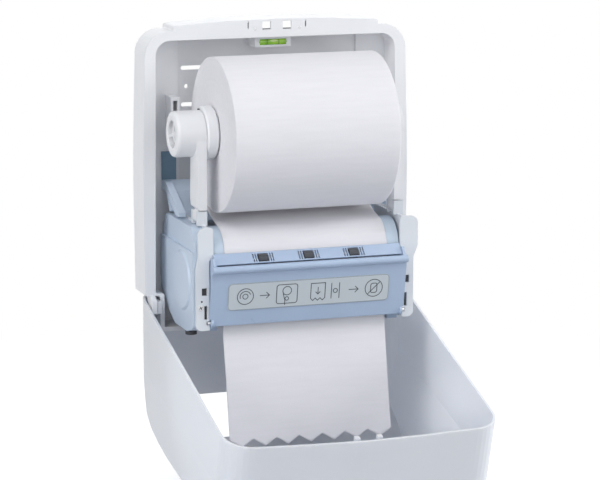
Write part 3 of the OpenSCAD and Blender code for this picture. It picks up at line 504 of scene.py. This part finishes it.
def on_label(u, v, lift):
    """Place on the label, u to the right and v up from its middle, lifted off its face."""
    c, t = math.cos(LABEL_TILT), math.sin(LABEL_TILT)
    y = -LABEL_FACE - lift
    return LABEL_AT + Vector((u, y * c - v * t, y * t + v * c))


def strokes(name, lines, width, mat, lift):
    """Closed or open polylines on the label, each a thin raised ribbon."""
    verts, faces = [], []
    for pts, closed in lines:
        n = len(pts)
        base = len(verts)
        for k in range(n):
            p = Vector(pts[k])
            q = Vector(pts[(k + 1) % n]) if closed or k < n - 1 else p + (p - Vector(pts[k - 1]))
            r = Vector(pts[k - 1]) if closed or k > 0 else p - (q - p)
            d1, d2 = (p - r).normalized(), (q - p).normalized()
            # mitred corners, squared off where the line turns back on itself
            t = (d1 + d2).normalized() if (d1 + d2).length > 0.2 else d2
            side = Vector((-t.y, t.x)) * (width / 2 / max(0.5, t.dot(d2)))
            for e, h in ((side, lift), (-side, lift), (-side, -STROKE_ROOT), (side, -STROKE_ROOT)):
                verts.append(tuple(on_label(p.x + e.x, p.y + e.y, h)))
        for k in range(n if closed else n - 1):
            i, j = base + 4 * k, base + 4 * ((k + 1) % n)
            for m in range(4):
                m2 = (m + 1) % 4
                faces.append((i + m, j + m, j + m2, i + m2))
        if not closed:
            faces.append((base, base + 1, base + 2, base + 3))
            e = base + 4 * (n - 1)
            faces.append((e + 3, e + 2, e + 1, e))
    o = build(name, verts, faces, mat, "flap", smooth=False)


def arc(cx, cy, r, a0=0.0, a1=360.0, n=28):
    """Points on an arc from a0 to a1 degrees; a whole circle doesn't repeat its first point."""
    out = []
    for k in range(n if a1 - a0 >= 360 else n + 1):
        a = math.radians(a0 + (a1 - a0) * k / n)
        out.append((cx + r * math.cos(a), cy + r * math.sin(a)))
    return out


def box_line(x0, y0, x1, y1, r, n=6):
    """Points on a rectangle with corners of radius r."""
    corners = ((x1 - r, y1 - r), (x0 + r, y1 - r), (x0 + r, y0 + r), (x1 - r, y0 + r))
    out = []
    for k, (cx, cy) in enumerate(corners):
        out += arc(cx, cy, r, 90 * k, 90 * k + 90, n)
    return out


def label_print():
    w, h = LABEL_W / 2 - BORDER_INSET, LABEL_H / 2 - BORDER_INSET
    border = [(box_line(-w, -h, w, h, BORDER_CORNER), True)]
    strokes("label_border", border, BORDER_WIDTH, BORDER, BORDER_LIFT)
    # a roll seen from its end, with a core
    icons = [(arc(-80, 0, 10), True), (arc(-80, 0, 3.2), True), (arc(-80, 0, 6.6, 20, 200), False)]
    # two arrows to the right
    for x in (-56, 56):
        icons += [([(x - 6, 0), (x + 6, 0)], False),
                  ([(x + 2, 4), (x + 6, 0), (x + 2, -4)], False)]
    # a case with a roll over a drum and paper coming out below
    icons += [(box_line(-41, -12, -15, 12, 3), True),
              (arc(-28, 4, 5.4), True),
              (arc(-28, -6, 2.2), True),
              ([(-33.4, 4), (-31.6, -4), (-30.4, -7.5), (-30.4, -14)], False)]
    # a torn sheet drawn down
    torn = [(5, -11), (8, -8), (11, -11), (14, -8), (17, -11)]
    icons += [([(2, 11), (2, -8), *torn, (20, -8), (20, 11)], True),
              ([(11, 6), (11, -3)], False),
              ([(8, 0), (11, -3), (14, 0)], False)]
    # a roll's core between two arms
    icons += [([(28, 10), (28, -10)], False),
              ([(38, 10), (38, -10)], False),
              (arc(33, 0, 2.6), True)]
    # an empty core in a ring, struck through
    icons += [(arc(82, 0, 11), True),
              (box_line(78, -6, 86, 6, 2.5), True),
              ([(74.5, -7.5), (89.5, 7.5)], False)]
    strokes("label_icons", icons, ICON_WIDTH, PRINT, ICON_LIFT)


label_print()


# Level vial: bubble and its two marks

VIAL_Y, VIAL_Z, VIAL_R = -26.0, 159.0, 4.8
# The bubble's middle, in the vial's front and above its axis, and its half length, depth and height
BUBBLE_X, BUBBLE_Y, BUBBLE_Z = 1.0, VIAL_Y - VIAL_R + 0.35, VIAL_Z + 1.2
BUBBLE_LONG, BUBBLE_DEEP, BUBBLE_HIGH = 5.2, 0.5, 1.7
# The marks: their places, half width, how far they stand out and reach in, and half their arc
MARKS_X, MARK_HALF, MARK_OUT, MARK_IN, MARK_ARC = (-7.5, 7.5), 0.35, 0.06, 0.3, 40


def vial_bubble():
    verts, faces, rows, cols = [], [], 12, 24
    for i in range(1, rows):
        f = math.pi * i / rows
        for j in range(cols):
            g = 2 * math.pi * j / cols
            verts.append((BUBBLE_X - BUBBLE_LONG * math.cos(f),
                          BUBBLE_Y + BUBBLE_DEEP * math.sin(f) * math.cos(g),
                          BUBBLE_Z + BUBBLE_HIGH * math.sin(f) * math.sin(g)))
    final = (rows - 2) * cols
    left, right = final + cols, final + cols + 1
    verts += [(BUBBLE_X - BUBBLE_LONG, BUBBLE_Y, BUBBLE_Z),
              (BUBBLE_X + BUBBLE_LONG, BUBBLE_Y, BUBBLE_Z)]
    for j in range(cols):
        k = (j + 1) % cols
        for i in range(0, final, cols):
            faces.append((i + j, i + k, i + cols + k, i + cols + j))
        faces += [(left, k, j), (final + j, final + k, right)]
    build("vial_bubble", verts, faces, BUBBLE, "chassis")


def vial_marks():
    outer, inner = VIAL_R + MARK_OUT, VIAL_R - MARK_IN
    section = ((-MARK_HALF, outer), (MARK_HALF, outer), (MARK_HALF, inner), (-MARK_HALF, inner))
    verts, faces, n = [], [], 16
    for x in MARKS_X:
        base = len(verts)
        for k in range(n + 1):
            a = math.radians(180 - MARK_ARC + 2 * MARK_ARC * k / n)
            for dx, r in section:
                verts.append((x + dx, VIAL_Y + r * math.cos(a), VIAL_Z + r * math.sin(a)))
        end = base + 4 * n
        for i in range(base, end, 4):
            for m in range(4):
                m2 = (m + 1) % 4
                faces.append((i + m, i + m2, i + 4 + m2, i + 4 + m))
        faces += [(base + 3, base + 2, base + 1, base), (end, end + 1, end + 2, end + 3)]
    build("vial_marks", verts, faces, DARK_AND_SHADE, "chassis", smooth=False)


vial_bubble()
vial_marks()


# Painted shade: small dark pieces in the openings, recesses and notches of the side plates, the
# left arm and the left hub

# The cross of the screw on the left plate, its recess painted as shade: its middle, its bars and
# the turn of each
SCREW_X, SCREW_Z = -132.5, -139.0
BAR_LONG, BAR_HALF, BAR_TURNS = 2.2, 0.45, (25, 115)
SCREW_DEPTH, HOLE_DEPTH = (-158.9, -159.06), (-157.9, -158.06)
HOLE_X, HOLE_Z, HOLE_R = -131.2, -131.5, 1.2
# The two openings in each plate's face, as x0, x1, z0, z1 on the right, and the depth of the dark
# sheets behind them that paint in their shade
OPENINGS = ((124.7, 131.6, -125.2, -115.0), (124.7, 128.6, -154.2, -136.4))
SHADE_SHEET_DEPTH = (-154.9, -154.4)
# Painted shade in the notches where the left arm's head meets the hub's flange
NOTCH_X0, NOTCH_X1, NOTCH_HALF, NOTCHES_Z = -120.0, -117.9, 0.9, (91.0, 35.6)
NOTCH_DEPTH = (-109.8, -106.6)
# Painted shade in the slots between the three prongs in the end of the left hub, which sits above
# the roll's axis
HUB_Z = ROLL_Z + 3.3
SLOT_OUTER, SLOT_INNER, SLOT_AT, SLOT_STEP, SLOT_STEPS = 14.8, 6.8, 45, 6, 8
SLOT_DEPTH = (-147.8, -147.45)
PRONGS = 3


def prism(name, outlines, depth, body, along="y"):
    """Dark solids of painted shade from flat outlines: in (x, z) drawn out along y, or in (y, z)
    along x.
    """
    verts, faces = [], []
    for pts in outlines:
        n, base = len(pts), len(verts)
        for d in depth:
            verts += [(u, d, v) if along == "y" else (d, u, v) for u, v in pts]
        faces.append(tuple(base + k for k in range(n)))
        faces.append(tuple(base + n + k for k in range(n - 1, -1, -1)))
        for k in range(n):
            m = (k + 1) % n
            faces.append((base + m, base + k, base + n + k, base + n + m))
    if along == "x":
        faces = [f[::-1] for f in faces]
    o = build(name, verts, faces, DARK_AND_SHADE, body, smooth=False)


def rectangle(x0, x1, z0, z1):
    return [(x0, z0), (x1, z0), (x1, z1), (x0, z1)]


def plate_painted_shade():
    """Painted shade in the left plate's screw recess, in the hole above it, and behind the
    openings.
    """
    cross = []
    for turn in BAR_TURNS:
        c, t = math.cos(math.radians(turn)), math.sin(math.radians(turn))
        bar = rectangle(-BAR_LONG, BAR_LONG, -BAR_HALF, BAR_HALF)
        cross.append([(SCREW_X + u * c - v * t, SCREW_Z + u * t + v * c) for u, v in bar])
    prism("screw_recess_shade", cross, SCREW_DEPTH, "chassis")
    prism("plate_hole_shade", [arc(HOLE_X, HOLE_Z, HOLE_R, n=20)], HOLE_DEPTH, "chassis")
    # dark sheets behind the openings: painted shade
    right = [rectangle(*opening) for opening in OPENINGS]
    left = [[(-x, z) for x, z in reversed(loop)] for loop in right]
    prism("left_opening_shade", left, SHADE_SHEET_DEPTH, "chassis")
    prism("right_opening_shade", right, SHADE_SHEET_DEPTH, "chassis")


def hub_painted_shade():
    """Painted shade in the notches of the left arm's head and in the slots of the left hub's end.
    """
    notches = [rectangle(NOTCH_X0, NOTCH_X1, z - NOTCH_HALF, z + NOTCH_HALF) for z in NOTCHES_Z]
    prism("head_notch_shade", notches, NOTCH_DEPTH, "left_arm")
    slots = []
    for k in range(PRONGS):
        turns = [360 / PRONGS * k + SLOT_AT + SLOT_STEP * (t - SLOT_STEPS / 2)
                 for t in range(SLOT_STEPS + 1)]
        ring = []
        for r, angles in ((SLOT_OUTER, turns), (SLOT_INNER, turns[::-1])):
            for g in map(math.radians, angles):
                ring.append((ROLL_Y + r * math.cos(g), HUB_Z + r * math.sin(g)))
        slots.append(ring)
    prism("knob_slot_shade", slots, SLOT_DEPTH, "left_hub", along="x")


plate_painted_shade()
hub_painted_shade()


# Floor, lamps and surroundings

FLOOR_HALF, FLOOR_BELOW = 40.0, 0.0005
FLOOR_COLOUR, FLOOR_LIFT = (0.62, 0.63, 0.65), 0.62
# Middle of the floor's shadowed part, and the distances over which it goes over into white
SHADOW_X, SHADOW_Y, SHADOW_FADE = 0.0, -0.2, (0.35, 1.1)
WORLD_COLOUR, WORLD_STRENGTH = (0.86, 0.92, 1.0), 0.26
LAMP_AIM = Vector((0, -0.1, -0.08))
LAMPS = (
    # name, place, size, watts
    ("key", (-1.9, -1.9, 2.8), 1.6, 42),
    ("left", (-3.0, -1.2, 0.7), 1.6, 34),
    ("right", (3.0, -0.8, 0.9), 1.6, 58),
    ("fill", (2.0, -2.3, 2.0), 2.4, 22),
    ("front", (0.2, -3.4, 0.7), 1.8, 12),
    ("top", (0.3, -0.6, 3.0), 1.8, 10),
    ("back", (0.5, 3.0, 0.9), 2.0, 12),
)


def seen_ray(nodes, links):
    """1 for what the camera sees, directly or in gloss and glass, and 0 for light on the object."""
    path = nodes.new("ShaderNodeLightPath")
    clear = math_node(nodes, links, "MAXIMUM",
                      path.outputs["Is Glossy Ray"], path.outputs["Is Transmission Ray"])
    return math_node(nodes, links, "MAXIMUM", path.outputs["Is Camera Ray"], clear)


def floor():
    """Pale floor that keeps the object's shadow and goes over into plain white away from it."""
    me = bpy.data.meshes.new("floor")
    s, z = FLOOR_HALF, CAD_BOX[0].z - FLOOR_BELOW
    me.from_pydata([(-s, -s, z), (s, -s, z), (s, s, z), (-s, s, z)], [], [(0, 1, 2, 3)])
    o = bpy.data.objects.new("floor", me)
    bpy.context.collection.objects.link(o)
    m, nodes, links, bsdf = material("floor", FLOOR_COLOUR, rough=0.9, specular=0.1)
    seen = seen_ray(nodes, links)
    lift = nodes.new("ShaderNodeEmission")
    links.new(math_node(nodes, links, "MULTIPLY", seen, FLOOR_LIFT), lift.inputs["Strength"])
    near = nodes.new("ShaderNodeAddShader")
    links.new(bsdf.outputs["BSDF"], near.inputs[0])
    links.new(lift.outputs["Emission"], near.inputs[1])
    far = nodes.new("ShaderNodeEmission")
    far.inputs["Strength"].default_value = 1.0
    place = nodes.new("ShaderNodeTexCoord")
    away = nodes.new("ShaderNodeVectorMath")
    away.operation = "DISTANCE"
    away.inputs[1].default_value = (SHADOW_X, SHADOW_Y, z)
    links.new(place.outputs["Object"], away.inputs[0])
    fade = map_range(nodes, links, away.outputs["Value"], SHADOW_FADE)
    fade.interpolation_type = "SMOOTHSTEP"
    mix = nodes.new("ShaderNodeMixShader")
    links.new(math_node(nodes, links, "MULTIPLY", fade.outputs["Result"], seen), mix.inputs["Fac"])
    links.new(near.outputs["Shader"], mix.inputs[1])
    links.new(far.outputs["Emission"], mix.inputs[2])
    links.new(mix.outputs["Shader"], nodes["Material Output"].inputs["Surface"])
    me.materials.append(m)


def area_lamp(name, place, size, watts):
    d = bpy.data.lights.new(name, "AREA")
    d.energy = watts
    d.size = size
    o = bpy.data.objects.new(name, d)
    o.location = place
    o.rotation_euler = (LAMP_AIM - Vector(place)).to_track_quat("-Z", "Y").to_euler()
    bpy.context.collection.objects.link(o)


def surroundings():
    """Faint cool light all round, which shows as plain white."""
    world = bpy.data.worlds.new("world")
    bpy.context.scene.world = world
    world.use_nodes = True
    nodes, links = world.node_tree.nodes, world.node_tree.links
    lit = nodes["Background"]
    lit.inputs["Color"].default_value = (*WORLD_COLOUR, 1)
    lit.inputs["Strength"].default_value = WORLD_STRENGTH
    white = nodes.new("ShaderNodeBackground")
    white.inputs["Color"].default_value = (1, 1, 1, 1)
    white.inputs["Strength"].default_value = 1.0
    pick = nodes.new("ShaderNodeMixShader")
    links.new(seen_ray(nodes, links), pick.inputs["Fac"])
    links.new(lit.outputs["Background"], pick.inputs[1])
    links.new(white.outputs["Background"], pick.inputs[2])
    links.new(pick.outputs["Shader"], nodes["World Output"].inputs["Surface"])


floor()
for lamp in LAMPS:
    area_lamp(*lamp)
surroundings()

bpy.context.scene.view_settings.view_transform = "Standard"
